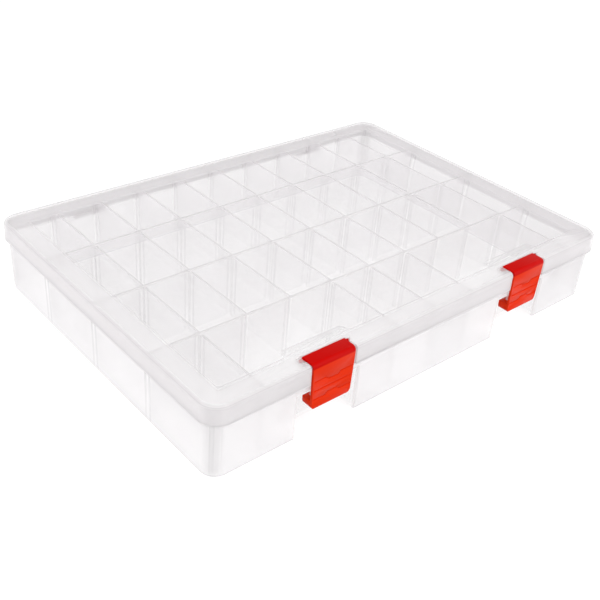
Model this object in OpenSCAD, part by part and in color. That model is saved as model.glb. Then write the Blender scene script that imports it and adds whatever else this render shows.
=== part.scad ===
// Clear storage case for beads and small craft parts: a tray with fixed long walls and lift-out
// dividers, a hinged lid, and two snap latches on the front. The origin is the middle of the
// tray's underside, the latches face -Y, and the lid hinges at +Y. Millimetres.

/* [Case] */
// Width of the closed case, across the lid
case_w = 348; // [344:0.5:352]
// Depth of the closed case, across the lid, without its hinges
case_d = 249; // [246:0.5:252]
// Height of the closed case
case_h = 51.4; // [50:0.1:54]
// Plan radius of the lid's outer corners
corner_r = 13; // [11:0.5:15]

/* [Lid] */
// Height of the lid's skirt
skirt_h = 13; // [12:0.1:15]
// Thickness of the skirt
skirt_t = 1.7; // [1.5:0.1:1.8]
// Thickness of the rim's top
rim_t = 1.8; // [1.6:0.1:1.9]
// How far the skirt's face leans in over its height
skirt_draft = 0.3; // [0:0.1:0.6]
// Radius of the lid's outer top edge
lid_edge_r = 3; // [2.5:0.1:3.2]
// Width of the flat rim round the sunken panel
rim_w = 15.5; // [15:0.1:16.5]
// How far the panel lies below the rim
step_h = 1; // [0.8:0.1:1.2]
// Thickness of the panel
panel_t = 1.2; // [1:0.1:1.2]
// Plan radius of the sunken panel's corners
panel_r = 2; // [1.5:0.5:5]

/* [Tray] */
// Distance from the lid's outer face to the collar that the lid fits over
collar_inset = 2; // [2:0.1:2.2]
// Distance from the lid's top to the lower edge of the collar
collar_drop = 14.2; // [13.8:0.1:16]
// Distance from the lid's outer face to the tray's face below the collar
tray_inset = 2.6; // [2.4:0.1:2.8]
// Thickness of the tray's outer walls
wall_t = 1.6; // [1.4:0.1:1.7]
// Thickness of the tray's floor
floor_t = 1.6; // [1.2:0.1:2]
// Radius of the tray's bottom edge
foot_r = 1; // [0.8:0.1:1.2]
// Space between the lid's panel and the tops of the inner walls and dividers
lid_gap = 0.3; // [0.3:0.05:0.5]

/* [Compartments] */
// Distance from one divider slot to the next
cell_pitch = 34; // [33.5:0.1:34]
// Distance from one long wall to the next
row_pitch = 60.2; // [59.5:0.1:60.5]
// Thickness of the fixed long walls
long_wall_t = 1.4; // [1.2:0.1:1.6]
// Thickness of a lift-out divider
divider_t = 1.3; // [1.1:0.1:1.4]
// Width of the slot that a divider drops into
slot_w = 1.6; // [1.5:0.1:1.8]
// Thickness of a slot's ribs
rib_t = 1.2; // [1:0.1:1.5]
// How far a slot's ribs stand out from the wall
rib_out = 2; // [1.5:0.1:2.5]
// Space between a divider's edge and the wall that it faces
divider_gap = 0.3; // [0.2:0.05:0.5]

/* [Latches] */
// Distance from the case's middle to the middle of each latch and its finger pocket
latch_x = 88.5; // [86:0.5:90]
// Width of a latch at its top
latch_w = 32; // [30:0.5:33]
// How much narrower a latch is at its lower edge
latch_taper = 2; // [0:0.2:3]
// Thickness of a latch's plate
latch_t = 1.5; // [1.4:0.1:1.6]
// Distance from the lid's top to a latch's lower edge
latch_drop = 33.2; // [32:0.1:34]
// Width of the finger pocket behind a latch
pocket_w = 46.8; // [44:0.2:48]
// Depth of a finger pocket, from the lid's front face
pocket_depth = 16.2; // [15.5:0.1:17]
// Distance from the lid's top to the roof of a finger pocket
roof_drop = 18.8; // [18:0.1:19.5]
// Distance from the lid's top to the underside of the catch that the latch hooks under
catch_drop = 24.6; // [23:0.1:24.8]
// Radius of a latch's pivot pins
pivot_r = 1.1; // [0.9:0.05:1.15]

/* [Hinges] */
// Distance from the case's middle to the middle of each hinge
hinge_x = 105; // [95:1:115]
// Length of the lid's knuckle
knuckle_l = 24; // [18:1:30]
// Width of each ear on the tray
ear_t = 4; // [3:0.5:5]
// Radius of the bar between the ears
bar_r = 1.4; // [1.2:0.1:1.4]

/* [Hidden] */
$fn = 64;
front_y = -case_d / 2;
back_y = case_d / 2;
skirt_z = case_h - skirt_h;
running_gap = 0.08;          // radial play of a pin in its bore
rest_gap = 0.3;              // air between two mouldings that face each other
over = 1;                    // how far a cutter reaches past the face that it opens

// tray
collar_w = case_w - 2 * collar_inset;
collar_d = case_d - 2 * collar_inset;
tray_w = case_w - 2 * tray_inset;
tray_d = case_d - 2 * tray_inset;
tray_r = corner_r - tray_inset;
tray_h = case_h - rim_t - lid_edge_r + skirt_t - rest_gap;   // below the lid's inner fillet
collar_z = case_h - collar_drop;
in_w = tray_w - 2 * wall_t;
in_d = tray_d - 2 * wall_t;
shoulder_rise = 0.8;         // the collar's inner shoulder lies this far above its outer one
inner_h = case_h - step_h - panel_t - lid_gap;
rib_h = inner_h - 1;         // the ribs stop short of the walls' tops
rib_root = 0.65;             // how far a rib runs into its wall
divider_r = 1.5;             // radius of a divider's corners
long_walls = [for (i = [-1 : 1]) i * row_pitch];
row_edges = [-in_d / 2, for (y = long_walls) each [y - long_wall_t / 2, y + long_wall_t / 2],
    in_d / 2];
all_slots = [for (k = [-4 : 4]) k];
front_slots = [-4, -1, 0, 1, 4];
row_slots = [front_slots, all_slots, all_slots, all_slots];
roof_z = case_h - roof_drop;
pocket_y = front_y + pocket_depth;
pocket_r = 2;
catch_w = 26;
catch_out = 6;               // depth of the catch, front to back

// the latch's seat in the lid, measured from the lid's front face and top
latches = [-latch_x, latch_x];
latch_side_gap = 1.5;
seat_w = latch_w + 2 * latch_side_gap;
seat_depth = 11.7;
seat_drop = 1.9;
seat_wall = 1.2;
notch_depth = 3;             // the skirt and rim are open this far back for the plate
trough_near = 7.4;           // deeper trough at the seat's back, which the barrel turns in
trough_drop = 3.6;
bump_w = 47;                 // the rim's bulge behind a latch
bump_reach = 21.5;
bump_r = 3.2;

// latch section, measured from the lid's front face and top
pivot_y = front_y + 9.4;
pivot_z = case_h - 1.6;
barrel_r = 1.6;
heel = 1.5;                  // how far the flange's rear edge lies behind the pivot
heel_r = 0.6;
pin_l = 2.5;                 // how far a pivot pin reaches past the barrel
latch_face = 0.2;            // the latch's face lies this far behind the skirt's
latch_edge_r = 3;
toe_reach = 8.3;             // how far the toe, which hooks under the catch, reaches back
toe_top_drop = 26.1;
toe_r = 2;
latch_corner_r = 4.5;

// grip grooves: how far each lies below the lid's top, and which way it jogs in its middle
grooves = [[12.3, -1], [18.9, 0], [25.2, 1]];
groove_w = 0.8;
groove_d = 0.45;
groove_margin = 1.6;         // from a groove's end to the latch's edge at its top
groove_rise = 1.8;           // height of a groove's jog
groove_jog = 9;              // width of the jog, between the middles of its slopes

// hinge section
hinge_y = back_y + 0.7;
hinge_z = skirt_z - 3.2;
knuckle_r = 2.4;
mouth_w = 2.1;               // gap by which the knuckle snaps over the bar
ear_foot_z = hinge_z - 8;
knuckle_top_z = skirt_z + 8;
knuckle_shoulder = 0.6;      // how far the knuckle's back leans in, up to the skirt

body_colour = [0.90, 0.91, 0.92];
divider_colour = [0.84, 0.86, 0.89];
latch_colour = [0.93, 0.22, 0.06];

function divider_name(row, slot) = str("divider_r", row + 1, "_s", slot + 5);
DIVIDERS = [for (row = [0 : 3]) for (slot = row_slots[row]) [row, slot]];

// ---- shared forms ----

module rounded_rect(w, d, r) {
    square([w, d - 2 * r], center = true);
    square([w - 2 * r, d], center = true);
    for (x = [-1, 1], y = [-1, 1])
        translate([x * (w / 2 - r), y * (d / 2 - r)]) circle(r);
}

// A block with rounded plan corners. The child is the section of its side, drawn from the
// corner's axis outwards and upwards.
module side_swept_block(w, d, r, h) {
    translate([0, 0, h / 2]) cube([w - 2 * r, d - 2 * r, h], center = true);
    for (turn = [0 : 3]) {
        along = turn % 2 == 0 ? d : w;
        across = turn % 2 == 0 ? w : d;
        rotate(turn * 90) {
            translate([across / 2 - r, along / 2 - r]) rotate_extrude(angle = 90) children();
            translate([across / 2 - r, 0]) rotate([90, 0, 0])
                linear_extrude(along - 2 * r, center = true) children();
        }
    }
}

// A side that leans in by lean over its height and ends in a rounded top edge
module leaning_side(r, h, lean, edge_r) {
    tilt = atan(lean / h);
    cy = h - edge_r;
    cx = r - lean * cy / h - edge_r / cos(tilt);
    translate([cx, cy]) circle(edge_r);
    polygon([[0, 0], [r, 0], [cx + edge_r * cos(tilt), cy + edge_r * sin(tilt)], [cx, cy],
        [cx, h], [0, h]]);
}

// The tray's side: rounded foot, upright face, and the collar above it
module tray_side() {
    translate([tray_r - foot_r, foot_r]) circle(foot_r);
    square([tray_r - foot_r, foot_r]);
    translate([0, foot_r]) square([tray_r, collar_z - foot_r]);
    translate([0, collar_z]) square([corner_r - collar_inset, tray_h - collar_z]);
}

// Extrudes the child, drawn as depth and height, along X about x
module along_x(x, length) {
    translate([x, 0, 0]) rotate([90, 0, 90]) linear_extrude(length, center = true) children();
}

// The corner that a fillet of radius r fills, with the sharp corner at the origin
module fillet(r) {
    difference() {
        square(r);
        translate([r, r]) circle(r);
    }
}

// ---- tray ----

module pocket_plan() {
    reach = pocket_y - front_y;
    translate([0, front_y + reach / 2]) {
        translate([0, -pocket_r / 2]) square([pocket_w, reach - pocket_r], center = true);
        square([pocket_w - 2 * pocket_r, reach], center = true);
        for (x = [-1, 1]) translate([x * (pocket_w / 2 - pocket_r), reach / 2 - pocket_r])
            circle(pocket_r);
    }
    for (x = [0, 1]) mirror([x, 0]) translate([pocket_w / 2, front_y + tray_inset])
        fillet(pocket_r);
}

module inner_walls_plan() {
    for (y = long_walls) translate([0, y]) square([in_w + wall_t, long_wall_t], center = true);
}

module slot_ribs_plan() {
    for (row = [0 : 3], slot = row_slots[row], side = [-1, 1], end = [0, 1]) {
        x = slot * cell_pitch + side * (slot_w + rib_t) / 2;
        y = row_edges[2 * row + end] + (end == 0 ? 1 : -1) * (rib_out - rib_root) / 2;
        translate([x, y]) square([rib_t, rib_out + rib_root], center = true);
    }
}

module hinge_ear_section() {
    root_y = back_y - tray_inset - wall_t / 2;
    translate([hinge_y, hinge_z]) circle(knuckle_r);
    polygon([[root_y, ear_foot_z], [root_y, hinge_z + knuckle_r],
        [hinge_y, hinge_z + knuckle_r], [hinge_y, hinge_z - knuckle_r]]);
}

// Roof, back and sides of a finger pocket, before the pocket is cut
module pocket_shell() {
    translate([-pocket_w / 2 - wall_t, front_y + tray_inset + wall_t / 2, foot_r])
        cube([pocket_w + 2 * wall_t, pocket_depth - tray_inset + wall_t / 2,
            roof_z + wall_t - foot_r]);
}

module base_tray() {
    color(body_colour) {
        difference() {
            union() {
                difference() {
                    side_swept_block(tray_w, tray_d, tray_r, tray_h)
                        tray_side();
                    translate([0, 0, floor_t]) linear_extrude(tray_h)
                        rounded_rect(in_w, in_d, tray_r - wall_t);
                    translate([0, 0, collar_z + shoulder_rise]) linear_extrude(tray_h)
                        rounded_rect(collar_w - 2 * wall_t, collar_d - 2 * wall_t,
                            corner_r - collar_inset - wall_t);
                }
                for (x = latches) translate([x, 0]) pocket_shell();
            }
            for (x = latches)
                translate([x, 0, -over]) linear_extrude(roof_z + over) pocket_plan();
        }
        for (x = latches)
            translate([x - catch_w / 2, front_y + tray_inset, case_h - catch_drop])
                cube([catch_w, catch_out, catch_drop - roof_drop + wall_t / 2]);
        translate([0, 0, floor_t / 2]) linear_extrude(inner_h - floor_t / 2) inner_walls_plan();
        translate([0, 0, floor_t / 2]) linear_extrude(rib_h - floor_t / 2) slot_ribs_plan();
        for (x = [-hinge_x, hinge_x]) {
            for (side = [-1, 1])
                along_x(x + side * (knuckle_l / 2 + rest_gap + ear_t / 2), ear_t)
                    hinge_ear_section();
            translate([x, hinge_y, hinge_z]) rotate([0, 90, 0])
                cylinder(r = bar_r, h = knuckle_l + 2 * rest_gap + ear_t, center = true);
        }
    }
}

// ---- lid ----

// The sunken panel's outline, grown by e, with the rim's bulges behind the latches
module panel_plan(e) {
    edge_y = front_y + rim_w - e;
    half = bump_w / 2 - e;
    r = bump_r - e;
    difference() {
        rounded_rect(case_w - 2 * (rim_w - e), case_d - 2 * (rim_w - e), panel_r + e);
        for (x = latches) translate([x, edge_y - over]) {
            reach = bump_reach - rim_w + over;
            translate([-half, 0]) square([2 * half, reach - r]);
            translate([r - half, 0]) square([2 * (half - r), reach]);
            for (s = [-1, 1]) translate([s * (half - r), reach - r]) circle(r);
            for (s = [0, 1]) mirror([s, 0]) translate([half, over]) fillet(bump_r + e);
        }
    }
}

module knuckle_section() {
    difference() {
        union() {
            translate([hinge_y, hinge_z]) circle(knuckle_r);
            polygon([[hinge_y - knuckle_r, hinge_z], [hinge_y - knuckle_r, skirt_z + skirt_t / 2],
                [back_y - skirt_t / 2, knuckle_top_z],
                [hinge_y + knuckle_r - knuckle_shoulder, skirt_z],
                [hinge_y + knuckle_r, hinge_z]]);
        }
        translate([hinge_y, hinge_z]) circle(bar_r + running_gap);
        translate([hinge_y - mouth_w / 2, hinge_z - 2 * knuckle_r])
            square([mouth_w, 2 * knuckle_r]);
    }
}

// A block of the seat, as distances behind the lid's front face and drops below its top
module seat_block(near, far, top, low) {
    w = seat_w + 2 * seat_wall;
    translate([-w / 2, front_y + near, case_h - low]) cube([w, far - near, low - top]);
}

module latch_seat_solid() {
    far = seat_depth + seat_wall;
    seat_block(skirt_t / 2, far, rim_t, seat_drop + seat_wall);
    seat_block(lid_edge_r, far, rim_t / 2, seat_drop + seat_wall);
    seat_block(trough_near - seat_wall, far, rim_t, trough_drop + seat_wall);
}

module seat_cut(near, far, low) {
    translate([-seat_w / 2, front_y + near, case_h - low])
        cube([seat_w, far - near, low + over]);
}

module latch_seat_cut() {
    seat_cut(-over, notch_depth, skirt_h + over);
    seat_cut(-over, seat_depth, seat_drop);
    seat_cut(trough_near, seat_depth, trough_drop);
    translate([0, pivot_y, pivot_z]) rotate([0, 90, 0])
        cylinder(r = pivot_r + running_gap, h = seat_w + 2 * (seat_wall + over), center = true);
}

module lid() {
    color(body_colour) {
        difference() {
            union() {
                difference() {
                    translate([0, 0, skirt_z])
                        side_swept_block(case_w, case_d, corner_r, skirt_h)
                            leaning_side(corner_r, skirt_h, skirt_draft, lid_edge_r);
                    translate([0, 0, skirt_z - over])
                        side_swept_block(case_w - 2 * skirt_t, case_d - 2 * skirt_t,
                            corner_r - skirt_t, skirt_h - rim_t + over)
                            leaning_side(corner_r - skirt_t, skirt_h - rim_t + over, 0,
                                lid_edge_r - skirt_t);
                }
                translate([0, 0, case_h - step_h - panel_t]) linear_extrude(panel_t)
                    panel_plan(rim_t - step_h);
                for (x = latches) translate([x, 0]) latch_seat_solid();
            }
            translate([0, 0, case_h - step_h]) linear_extrude(step_h + over) panel_plan(0);
            for (x = latches) translate([x, 0]) latch_seat_cut();
        }
        for (x = [-hinge_x, hinge_x]) along_x(x, knuckle_l) knuckle_section();
    }
}

// ---- latches ----

// The latch from the side: barrel, flange, bend, front plate, and the toe below
module latch_section() {
    out_y = front_y + latch_face;
    low_z = case_h - latch_drop;
    bend_y = out_y + latch_edge_r;
    bend_z = case_h - latch_edge_r;
    toe_d = front_y + toe_reach - out_y;
    translate([pivot_y, pivot_z]) circle(barrel_r);
    translate([bend_y, case_h - latch_t]) square([pivot_y + heel - heel_r - bend_y, latch_t]);
    translate([pivot_y, pivot_z]) square([heel, case_h - heel_r - pivot_z]);
    translate([pivot_y + heel - heel_r, case_h - heel_r]) circle(heel_r);
    translate([bend_y, bend_z]) difference() {
        intersection() {
            circle(latch_edge_r);
            translate([-latch_edge_r, 0]) square(latch_edge_r);
        }
        circle(latch_edge_r - latch_t);
    }
    translate([out_y, low_z + toe_r]) square([latch_t, bend_z - low_z - toe_r]);
    translate([out_y, low_z + toe_r]) square([toe_d, latch_drop - toe_top_drop - toe_r]);
    translate([out_y + toe_r, low_z + toe_r]) circle(toe_r);
    translate([out_y + toe_r, low_z]) square([toe_d - toe_r, 2 * toe_r]);
}

// The latch from the front: sides that close in downwards, and rounded lower corners
module latch_front_outline() {
    lean = latch_taper / 2 / latch_drop;
    tilt = atan(lean);
    low_z = case_h - latch_drop;
    corner_z = low_z + latch_corner_r;
    corner_x = latch_w / 2 - lean * (latch_drop - latch_corner_r) - latch_corner_r / cos(tilt);
    side = [[corner_x, low_z], [corner_x, corner_z],
        [corner_x + latch_corner_r * cos(tilt), corner_z - latch_corner_r * sin(tilt)],
        [latch_w / 2 + lean * over, case_h + over]];
    polygon(concat(side, [for (i = [3 : -1 : 0]) [-side[i][0], side[i][1]]]));
    for (s = [-1, 1]) translate([s * corner_x, corner_z]) circle(latch_corner_r);
}

// One grip groove across the latch, drop below the lid's top, which jogs up by rise in its
// middle
module grip_groove(drop, rise) {
    half = latch_w / 2 - groove_margin;
    near = (groove_jog - abs(rise)) / 2;
    far = (groove_jog + abs(rise)) / 2;
    line = [[-half, 0], [-far, 0], [-near, rise], [near, rise], [far, 0], [half, 0]];
    upper = [for (i = [5 : -1 : 0]) line[i] + [0, groove_w]];
    translate([0, front_y + latch_face + groove_d, case_h - drop - groove_w / 2])
        rotate([90, 0, 0]) linear_extrude(groove_d + over) polygon(concat(line, upper));
}

module latch(x) {
    color(latch_colour) translate([x, 0]) {
        difference() {
            intersection() {
                along_x(0, latch_w) latch_section();
                rotate([90, 0, 0]) linear_extrude(2 * case_d, center = true)
                    latch_front_outline();
            }
            for (g = grooves) grip_groove(g[0], g[1] * groove_rise);
        }
        translate([0, pivot_y, pivot_z]) rotate([0, 90, 0])
            cylinder(r = pivot_r, h = latch_w + 2 * pin_l, center = true);
    }
}

module latch_left() latch(-latch_x);

module latch_right() latch(latch_x);

// ---- dividers ----

module divider(row, slot) {
    low_y = row_edges[2 * row] + divider_gap;
    high_y = row_edges[2 * row + 1] - divider_gap;
    color(divider_colour) along_x(slot * cell_pitch, divider_t)
        translate([(low_y + high_y) / 2, (floor_t + inner_h) / 2])
            rounded_rect(high_y - low_y, inner_h - floor_t, divider_r);
}

base_tray();
lid();
latch_left();
latch_right();
for (d = DIVIDERS)
    divider(d[0], d[1]);
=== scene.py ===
from math import pi

import bmesh
import bpy
from mathutils import Matrix, Vector


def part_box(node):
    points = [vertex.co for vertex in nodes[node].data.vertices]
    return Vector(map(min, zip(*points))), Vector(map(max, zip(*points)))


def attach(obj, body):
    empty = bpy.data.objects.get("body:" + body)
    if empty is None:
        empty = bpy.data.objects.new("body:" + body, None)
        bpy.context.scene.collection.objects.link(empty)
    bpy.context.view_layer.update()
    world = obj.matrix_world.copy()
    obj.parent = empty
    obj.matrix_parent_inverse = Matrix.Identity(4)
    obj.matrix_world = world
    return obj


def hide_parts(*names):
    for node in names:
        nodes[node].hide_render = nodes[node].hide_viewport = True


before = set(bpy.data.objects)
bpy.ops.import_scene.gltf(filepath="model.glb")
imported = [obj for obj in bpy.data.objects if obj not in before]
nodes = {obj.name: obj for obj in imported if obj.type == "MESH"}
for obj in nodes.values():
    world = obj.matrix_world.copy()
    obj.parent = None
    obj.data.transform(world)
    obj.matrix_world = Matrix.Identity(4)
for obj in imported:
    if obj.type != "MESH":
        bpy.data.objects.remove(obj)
scene = bpy.context.scene
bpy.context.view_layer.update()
MM = 0.001


# ---- Camera ----
# The photograph's viewpoint: in front of the box's near left corner, a little above it, with a
# short telephoto lens. The three directions are those of the picture's right, up and back.

view_right = Vector((0.7616, -0.6438, 0.0735))
view_up = Vector((0.3064, 0.4577, 0.8347))
view_back = Vector((-0.571, -0.6132, 0.5458))
view_place = Vector((-376.4, -400.1, 345.9)) * MM

camera_data = bpy.data.cameras.new("photo_camera")
camera_data.lens = 53.1
camera_data.sensor_width = 36
camera_data.sensor_fit = "HORIZONTAL"
camera_data.clip_start = 0.01
camera = bpy.data.objects.new("photo_camera", camera_data)
camera.matrix_world = (Matrix.Translation(view_place)
                       @ Matrix((view_right, view_up, view_back)).transposed().to_4x4())
scene.collection.objects.link(camera)
scene.camera = camera
scene.view_settings.view_transform = "Standard"
scene.cycles.transparent_max_bounces = 96


# ---- Studio ----
# A white floor under a white sky, with one large soft box in front and another on the left.
# The camera sees floor and sky white; what falls on the box is a plain, even light.

floor_white = 0.6
floor_glow = 0.52
sky_level = 0.665

for name, place, size, power in (
        ("soft_box_front", (0.7, -1.6, 0.8), 1.8, 22),
        ("soft_box_left", (-1.7, 0.3, 0.9), 1.6, 19)):
    light_data = bpy.data.lights.new(name, "AREA")
    light_data.shape = "SQUARE"
    light_data.size = size
    light_data.energy = power
    light = bpy.data.objects.new(name, light_data)
    light.location = place
    light.rotation_euler = (-Vector(place)).to_track_quat("-Z", "Y").to_euler()
    scene.collection.objects.link(light)


def seen_directly(tree, other, direct):
    """A strength of direct for what camera, gloss and clear plastic see, and of other for light."""
    rays = tree.nodes.new("ShaderNodeLightPath")
    seen = rays.outputs["Is Camera Ray"]
    for ray in ("Is Glossy Ray", "Is Transmission Ray"):
        either = tree.nodes.new("ShaderNodeMath")
        either.operation = "MAXIMUM"
        tree.links.new(seen, either.inputs[0])
        tree.links.new(rays.outputs[ray], either.inputs[1])
        seen = either.outputs[0]
    level = tree.nodes.new("ShaderNodeMapRange")
    level.inputs["To Min"].default_value = other
    level.inputs["To Max"].default_value = direct
    tree.links.new(seen, level.inputs["Value"])
    return level.outputs["Result"]


world = bpy.data.worlds.new("studio")
world.use_nodes = True
scene.world = world
sky = world.node_tree.nodes["Background"]
sky.inputs["Color"].default_value = (1, 1, 1, 1)
world.node_tree.links.new(seen_directly(world.node_tree, sky_level, 1.0), sky.inputs["Strength"])

floor_mesh = bpy.data.meshes.new("floor")
floor_level = -0.2 * MM
floor_reach = 1.2
floor_mesh.from_pydata([(x * floor_reach, y * floor_reach, floor_level)
                        for x, y in ((-1, -1), (1, -1), (1, 1), (-1, 1))],
                       [], [(0, 1, 2, 3)])
floor = bpy.data.objects.new("floor", floor_mesh)
scene.collection.objects.link(floor)
floor_paint = bpy.data.materials.new("floor_white")
floor_paint.use_nodes = True
floor_tree = floor_paint.node_tree
floor_shader = floor_tree.nodes["Principled BSDF"]
floor_shader.inputs["Base Color"].default_value = (floor_white, floor_white, floor_white, 1)
floor_shader.inputs["Roughness"].default_value = 0.9
floor_shader.inputs["Specular IOR Level"].default_value = 0.1
floor_shader.inputs["Emission Color"].default_value = (1, 1, 1, 1)
floor_tree.links.new(seen_directly(floor_tree, 0, floor_glow),
                     floor_shader.inputs["Emission Strength"])
floor_mesh.materials.append(floor_paint)


# ---- Tray ----
# The tray is one moulding in milky clear polypropylene: outer wall, floor, long walls, slot ribs,
# finger pockets and hinge ears. Its edges are a little rounded, as on any moulding. A grey painted
# shade darkens its wall tops, rib faces, outer corners and foot, where its alpha is raised too.


def round_edges(piece, radius, segments=2):
    """Rounds a piece's sharp edges and turns all its modifiers into a plain mesh."""
    sharp_angle = 0.6
    bevel = piece.modifiers.new("rounded_edges", "BEVEL")
    bevel.width = radius
    bevel.segments = segments
    bevel.limit_method = "ANGLE"
    bevel.angle_limit = sharp_angle
    bevel.harden_normals = True
    finished = piece.evaluated_get(bpy.context.evaluated_depsgraph_get())
    rounded = bpy.data.meshes.new_from_object(finished)
    piece.modifiers.clear()
    piece.data = rounded
    rounded.shade_smooth()
    rounded.set_sharp_from_angle(angle=sharp_angle)


def moulding(node, name, body, material, rounding, segments=2):
    """Puts a copy of a CAD node, with merged faces and rounded edges, in the node's stead."""
    same_point = 0.002 * MM
    flat_angle = 0.01
    mesh = nodes[node].data.copy()
    mesh.name = name
    work = bmesh.new()
    work.from_mesh(mesh)
    bmesh.ops.remove_doubles(work, verts=work.verts, dist=same_point)
    bmesh.ops.dissolve_limit(work, angle_limit=flat_angle, verts=work.verts, edges=work.edges)
    work.to_mesh(mesh)
    work.free()
    piece = bpy.data.objects.new(name, mesh)
    scene.collection.objects.link(piece)
    piece.data.materials.clear()
    piece.data.materials.append(material)
    round_edges(piece, rounding, segments)
    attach(piece, body)
    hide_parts(node)


class Value:
    """A number that varies over a surface: an output of one of a material's nodes."""

    def __init__(self, finish, socket):
        self.finish = finish
        self.socket = socket

    def maths(self, operation, first, second):
        return self.finish.add("ShaderNodeMath", {"operation": operation}, {0: first, 1: second})

    def __add__(self, other):
        return self.maths("ADD", self, other)

    def __radd__(self, other):
        return self.maths("ADD", other, self)

    def __sub__(self, other):
        return self.maths("SUBTRACT", self, other)

    def __rsub__(self, other):
        return self.maths("SUBTRACT", other, self)

    def __mul__(self, other):
        return self.maths("MULTIPLY", self, other)

    def __rmul__(self, other):
        return self.maths("MULTIPLY", other, self)

    def __abs__(self):
        return self.maths("ABSOLUTE", self, 0)

    def __or__(self, other):
        return self.maths("MAXIMUM", self, other)


class Finish:
    """A material and the nodes behind its shader."""

    def __init__(self, name, **constants):
        self.material = bpy.data.materials.new(name)
        self.material.use_nodes = True
        self.tree = self.material.node_tree
        self.shader = self.tree.nodes["Principled BSDF"]
        for socket, value in constants.items():
            self.shader.inputs[socket.replace("_", " ")].default_value = value
        self.place = self.add("ShaderNodeTexCoord", output="Object")
        split = {"Vector": self.place}
        self.x = self.add("ShaderNodeSeparateXYZ", inputs=split, output="X")
        self.y = self.add("ShaderNodeSeparateXYZ", inputs=split, output="Y")
        self.z = self.add("ShaderNodeSeparateXYZ", inputs=split, output="Z")

    def add(self, kind, settings=None, inputs=None, output=0):
        """Makes a node, sets it, links or sets its inputs, and returns one of its outputs."""
        node = self.tree.nodes.new(kind)
        for key, value in (settings or {}).items():
            setattr(node, key, value)
        for key, value in (inputs or {}).items():
            self.feed(node.inputs[key], value)
        return Value(self, node.outputs[output])

    def feed(self, socket, value):
        """Links a value to a socket, or sets the socket to a plain number or vector."""
        if isinstance(value, Value):
            self.tree.links.new(value.socket, socket)
        else:
            socket.default_value = value

    def noise(self, size, detail, stretch=(1, 1, 1)):
        """Soft noise whose lumps are about size millimetres wide."""
        where = self.add("ShaderNodeMapping", inputs={"Vector": self.place, "Scale": stretch})
        return self.add("ShaderNodeTexNoise", inputs={
            "Vector": where, "Scale": 1 / (size * MM), "Detail": detail})

    def step(self, value, low, high):
        """0 below low and 1 above high, with a smooth rise between."""
        return self.add("ShaderNodeMapRange", {"interpolation_type": "SMOOTHSTEP"}, {
            "Value": value, "From Min": low, "From Max": high})

    def near_face(self, half_x, half_y, radius, depth):
        """1 within depth of the upright faces of a block with rounded corners, 0 further in."""
        blur = 0.3 * MM
        past_x = (abs(self.x) - (half_x - radius)) | 0
        past_y = (abs(self.y) - (half_y - radius)) | 0
        return self.step(past_x * past_x + past_y * past_y,
                         (radius - depth) ** 2, (radius - depth + blur) ** 2)

    def blend(self, mask, colour, other):
        """colour where mask is 0, and other where it is 1."""
        return self.add("ShaderNodeMix", {"data_type": "RGBA"}, {0: mask, 6: colour, 7: other}, 2)

    def grazing(self):
        """0 where the surface is seen straight on, rising to 1 where it is seen edge on."""
        facing = self.add("ShaderNodeLayerWeight", inputs={"Blend": 0.5}, output="Facing")
        return facing * facing * facing

    def bump(self, height, strength, distance):
        """Lets height stand out of the surface by distance millimetres where it is 1."""
        self.feed(self.shader.inputs["Normal"], self.add("ShaderNodeBump", inputs={
            "Height": height, "Strength": strength, "Distance": distance * MM}))


tray_low, tray_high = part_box("base_tray")
tray_half_x = tray_high.x
tray_half_y = -tray_low.y
tray_corner = 11 * MM
tray_rounding = 0.25 * MM
outer_wall_depth = 2.8 * MM
corner_reach = 12 * MM
corner_core = 3 * MM
foot_core = 0.5 * MM
foot_reach = 1.3 * MM
floor_top = 1.7 * MM
rib_foot = 2 * MM
wall_top = tray_high.z
top_edge_start = wall_top - 0.7 * MM
top_edge_full = wall_top - 0.3 * MM
row_pitch = 60.2 * MM
rib_start = 0.8 * MM
rib_face_start = 1.9 * MM
rib_end = 3 * MM
rib_blur = 0.2 * MM
milky = (0.97, 0.945, 0.96, 1)
# A grey painted shade, darker than the plastic's own milky colour, laid on its edge lines, bands
# and corners.
painted_edge_shade = (0.74, 0.72, 0.73, 1)

clear_tray = Finish("milky_clear_tray", IOR=1.49, Specular_IOR_Level=0.25)
flow = clear_tray.noise(size=26, detail=3, stretch=(1, 1, 0.4))
grain = clear_tray.noise(size=0.5, detail=2)
outer_wall = clear_tray.near_face(tray_half_x, tray_half_y, tray_corner, outer_wall_depth)
from_long_wall = abs(clear_tray.add("ShaderNodeMath", {"operation": "WRAP"}, {
    0: clear_tray.y, 1: row_pitch / 2, 2: -row_pitch / 2}))
rib = (clear_tray.step(from_long_wall, rib_start, rib_start + rib_blur)
       * (1 - clear_tray.step(from_long_wall, rib_end, rib_end + rib_blur))
       * clear_tray.step(clear_tray.z, floor_top, rib_foot))
# The rib faces get a soft grey painted shade band.
painted_rib_band = rib * clear_tray.step(from_long_wall, rib_face_start, rib_face_start + rib_blur)
# The outer corners and the foot get a grey painted shade, with more alpha, standing in for their
# darker look.
corner = (
    clear_tray.step(abs(clear_tray.x), tray_half_x - corner_reach, tray_half_x - corner_core)
    * clear_tray.step(abs(clear_tray.y), tray_half_y - corner_reach, tray_half_y - corner_core))
foot = 1 - clear_tray.step(clear_tray.z, foot_core, foot_reach)
painted_corner_and_foot_shade = outer_wall * (0.6 * corner | 0.35 * foot)
inner_wall = 0.14 * clear_tray.step(clear_tray.z, 0, wall_top)
# The wall tops get a thin grey painted shade line.
painted_top_line = clear_tray.step(clear_tray.z, top_edge_start, top_edge_full)
haze = 0.02 + 0.02 * flow + inner_wall + 0.1 * clear_tray.grazing()
dense = 0.05 * painted_rib_band + 0.3 * painted_top_line + 0.25 * outer_wall + 0.2 * painted_corner_and_foot_shade
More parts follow.
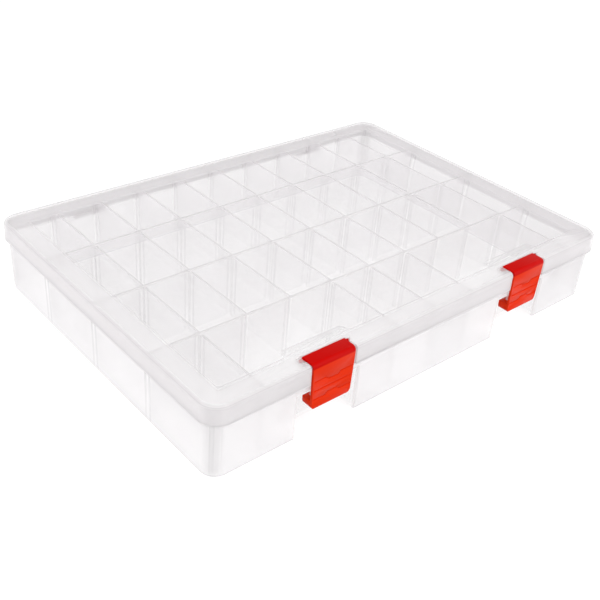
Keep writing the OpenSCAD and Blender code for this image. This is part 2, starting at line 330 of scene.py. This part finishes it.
# Base colour: the milky plastic, with grey painted shade on the wall tops, rib faces, outer corners
# and foot.
clear_tray.feed(clear_tray.shader.inputs["Base Color"],
                clear_tray.blend(painted_top_line | painted_rib_band | painted_corner_and_foot_shade, milky, painted_edge_shade))
clear_tray.feed(clear_tray.shader.inputs["Alpha"], haze * (1 - 0.7 * rib) + dense)
clear_tray.feed(clear_tray.shader.inputs["Roughness"], 0.24 + 0.14 * flow)
clear_tray.bump(flow + 0.05 * grain, strength=0.25, distance=0.12)

moulding("base_tray", "tray_shell", "base", clear_tray.material, tray_rounding)


# ---- Dividers ----
# Each divider is a flat plate with rounded corners in the same plastic, dropped into its slot
# between the ribs. A row's plates are alike, so one plate is laid out and set down at every slot.

divider_corner = 1.5 * MM
divider_rounding = 0.3 * MM

clear_divider = Finish("milky_clear_divider", IOR=1.49, Specular_IOR_Level=0.25)
flow = clear_divider.noise(size=18, detail=2)
# The divider tops get a thin grey painted shade line.
painted_divider_top_line = clear_divider.step(clear_divider.z, top_edge_start, top_edge_full)
haze = (0.02 + 0.02 * flow + 0.13 * clear_divider.step(clear_divider.z, 0, wall_top)
        + 0.1 * clear_divider.grazing())
clear_divider.feed(clear_divider.shader.inputs["Base Color"],
                   clear_divider.blend(painted_divider_top_line, milky, painted_edge_shade))
clear_divider.feed(clear_divider.shader.inputs["Alpha"], haze + 0.3 * painted_divider_top_line)
clear_divider.feed(clear_divider.shader.inputs["Roughness"], 0.22 + 0.14 * flow)
clear_divider.bump(flow, strength=0.25, distance=0.1)

plate_tree = bpy.data.node_groups.new("plates_in_their_slots", "GeometryNodeTree")
plate_sizes = {}
for name, kind in (("Slots", "NodeSocketGeometry"), ("Length", "NodeSocketFloat"),
                   ("Height", "NodeSocketFloat"), ("Thickness", "NodeSocketFloat"),
                   ("Corner Radius", "NodeSocketFloat"), ("Plastic", "NodeSocketMaterial")):
    plate_sizes[name] = plate_tree.interface.new_socket(name, in_out="INPUT", socket_type=kind)
plate_tree.interface.new_socket("Plates", in_out="OUTPUT", socket_type="NodeSocketGeometry")


def plate_step(kind, inputs, **settings):
    """Adds a node to the plate tree, with its settings and its inputs linked or set."""
    node = plate_tree.nodes.new("GeometryNode" + kind)
    for key, value in settings.items():
        setattr(node, key, value)
    for key, value in inputs.items():
        for source in value if isinstance(value, list) else [value]:
            if isinstance(source, bpy.types.NodeSocket):
                plate_tree.links.new(source, node.inputs[key])
            else:
                node.inputs[key].default_value = source
    return node.outputs[0]


given = plate_tree.nodes.new("NodeGroupInput").outputs
half_back = plate_tree.nodes.new("ShaderNodeMath")
half_back.operation = "MULTIPLY"
half_back.inputs[1].default_value = -0.5
plate_tree.links.new(given["Thickness"], half_back.inputs[0])
to_middle = plate_tree.nodes.new("ShaderNodeCombineXYZ")
plate_tree.links.new(half_back.outputs[0], to_middle.inputs["Z"])

outline = plate_step("CurvePrimitiveQuadrilateral",
                     {"Width": given["Length"], "Height": given["Height"]})
outline = plate_step("FilletCurve", {"Curve": outline, "Count": 5,
                                     "Radius": given["Corner Radius"]}, mode="POLY")
face = plate_step("FillCurve", {"Curve": outline}, mode="NGONS")
front = plate_step("ExtrudeMesh", {"Mesh": face, "Offset Scale": given["Thickness"],
                                   "Individual": False})
back = plate_step("FlipFaces", {"Mesh": face})
plate = plate_step("JoinGeometry", {"Geometry": [front, back]})
plate = plate_step("MergeByDistance", {"Geometry": plate, "Distance": 0.001 * MM})
plate = plate_step("Transform", {"Geometry": plate, "Translation": to_middle.outputs[0]})
plate = plate_step("Transform", {"Geometry": plate, "Rotation": (pi / 2, 0, pi / 2)})
slots = plate_step("MeshToPoints", {"Mesh": given["Slots"]})
plates = plate_step("InstanceOnPoints", {"Points": slots, "Instance": plate})
plates = plate_step("RealizeInstances", {"Geometry": plates})
plates = plate_step("SetMaterial", {"Geometry": plates, "Material": given["Plastic"]})
plate_tree.links.new(plates, plate_tree.nodes.new("NodeGroupOutput").inputs["Plates"])

for row in range(1, 5):
    row_nodes = sorted(name for name in nodes if name.startswith(f"divider_r{row}_"))
    corners = [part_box(name) for name in row_nodes]
    size = corners[0][1] - corners[0][0]
    slot_mesh = bpy.data.meshes.new(f"divider_slots_{row}")
    slot_mesh.from_pydata([(low + high) / 2 for low, high in corners], [], [])
    row_plates = bpy.data.objects.new(f"divider_plates_row_{row}", slot_mesh)
    scene.collection.objects.link(row_plates)
    laid_out = row_plates.modifiers.new("plates", "NODES")
    laid_out.node_group = plate_tree
    for name, value in (("Length", size.y), ("Height", size.z), ("Thickness", size.x),
                        ("Corner Radius", divider_corner),
                        ("Plastic", clear_divider.material)):
        laid_out[plate_sizes[name].identifier] = value
    round_edges(row_plates, divider_rounding)
    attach(row_plates, "base")
    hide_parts(*row_nodes)


# ---- Lid ----
# The lid is one moulding in the same plastic. Its rim and skirt are finely frosted and its sunken
# panel is smooth and clearer. Painted grey shade darkens its rim top, the inside of its skirt, and
# its upper and lower edges, as on the tray.

lid_low, lid_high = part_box("lid")
lid_top = lid_high.z
lid_half_x = lid_high.x
lid_half_y = -lid_low.y
lid_corner = 13 * MM
lid_rounding = 0.3 * MM
rim_width = 15.5 * MM
rim_start = lid_top - 0.8 * MM
rim_full = lid_top - 0.4 * MM
upper_edge_depth = 2.4 * MM
upper_edge_start = lid_top - 1.9 * MM
upper_edge_full = lid_top - 1.6 * MM
skirt_height = 13 * MM
skirt_low = lid_top - skirt_height
lower_edge_start = skirt_low - 0.4 * MM
lower_edge_full = skirt_low - 0.1 * MM
lower_edge_fade = skirt_low + 0.3 * MM
lower_edge_end = skirt_low + 0.7 * MM
skirt_skin = 1.3 * MM
skirt_depth = 3.2 * MM
panel_half_x = lid_half_x - rim_width
panel_half_y = lid_half_y - rim_width
panel_blur = 0.1 * MM
# A grey painted shade: the rim top and the inside of the skirt are painted darker than the milky
# plastic.
rim_painted_shade = (0.82, 0.795, 0.805, 1)

clear_lid = Finish("milky_clear_lid", IOR=1.49, Specular_IOR_Level=0.12)
outside_x = clear_lid.step(abs(clear_lid.x), panel_half_x - panel_blur, panel_half_x + panel_blur)
outside_y = clear_lid.step(abs(clear_lid.y), panel_half_y - panel_blur, panel_half_y + panel_blur)
raised = clear_lid.step(clear_lid.z, rim_start, rim_full)
frosted = outside_x | outside_y | raised
# The lid's upper outer edge gets a grey painted shade line.
painted_upper_edge_line = (clear_lid.near_face(lid_half_x, lid_half_y, lid_corner, upper_edge_depth)
              * clear_lid.step(clear_lid.z, upper_edge_start, upper_edge_full))
# The inside of the skirt gets a grey painted shade, with more alpha.
skirt_inside_painted_shade = (clear_lid.near_face(lid_half_x, lid_half_y, lid_corner, skirt_depth)
                - clear_lid.near_face(lid_half_x, lid_half_y, lid_corner, skirt_skin))
flow = clear_lid.noise(size=40, detail=3)
frost = clear_lid.noise(size=0.35, detail=2)
# The skirt's lower edge gets a grey painted shade line.
painted_lower_edge_line = (clear_lid.step(clear_lid.z, lower_edge_start, lower_edge_full)
              * (1 - clear_lid.step(clear_lid.z, lower_edge_fade, lower_edge_end)))
haze = 0.08 + 0.22 * frosted - 0.08 * raised + 0.03 * flow + 0.2 * clear_lid.grazing()
dense = 0.3 * painted_lower_edge_line + 0.18 * painted_upper_edge_line + 0.2 * skirt_inside_painted_shade
# Base colour: milky plastic, with painted shade on the rim top and skirt inside, and painted shade
# lines on the upper and lower edges.
clear_lid.feed(clear_lid.shader.inputs["Base Color"], clear_lid.blend(
    painted_lower_edge_line | painted_upper_edge_line, clear_lid.blend(raised | skirt_inside_painted_shade, milky, rim_painted_shade),
    painted_edge_shade))
clear_lid.feed(clear_lid.shader.inputs["Alpha"], haze + dense)
clear_lid.feed(clear_lid.shader.inputs["Roughness"], 0.14 + 0.3 * frosted + 0.08 * flow)
clear_lid.bump(flow * 0.6 + frost * frosted * 0.1, strength=0.3, distance=0.15)

moulding("lid", "lid_shell", "lid", clear_lid.material, lid_rounding)


# ---- Latches ----
# The two latches are orange-red polypropylene mouldings with a satin face and three grip grooves.
# Their edges are rounded to the touch, and the flange that lies in the rim is darkened by a painted
# shade.

latch_rounding = 0.35 * MM
bend_low = lid_top - 3.6 * MM
bend_high = lid_top - 2.4 * MM
plate_red = (0.75, 0.030, 0.004, 1)
# The latch's red with painted shade: the top flange is painted darker.
flange_painted_shade_red = (0.54, 0.001, 0.0, 1)

latch_red = Finish("orange_red_latch", IOR=1.49, Specular_IOR_Level=0.05)
# The flange, above the bend, takes the darker painted shade red.
flange = latch_red.step(latch_red.z, bend_low, bend_high)
latch_red.feed(latch_red.shader.inputs["Base Color"],
               latch_red.blend(flange, plate_red, flange_painted_shade_red))
mottle = latch_red.noise(size=6, detail=3)
grain = latch_red.noise(size=0.3, detail=2)
latch_red.feed(latch_red.shader.inputs["Roughness"], 0.3 + 0.12 * mottle)
latch_red.bump(mottle + grain * 0.15, strength=0.25, distance=0.08)

for side in ("left", "right"):
    moulding(f"latch_{side}", f"latch_{side}_clip", f"latch_{side}",
             latch_red.material, latch_rounding, segments=3)
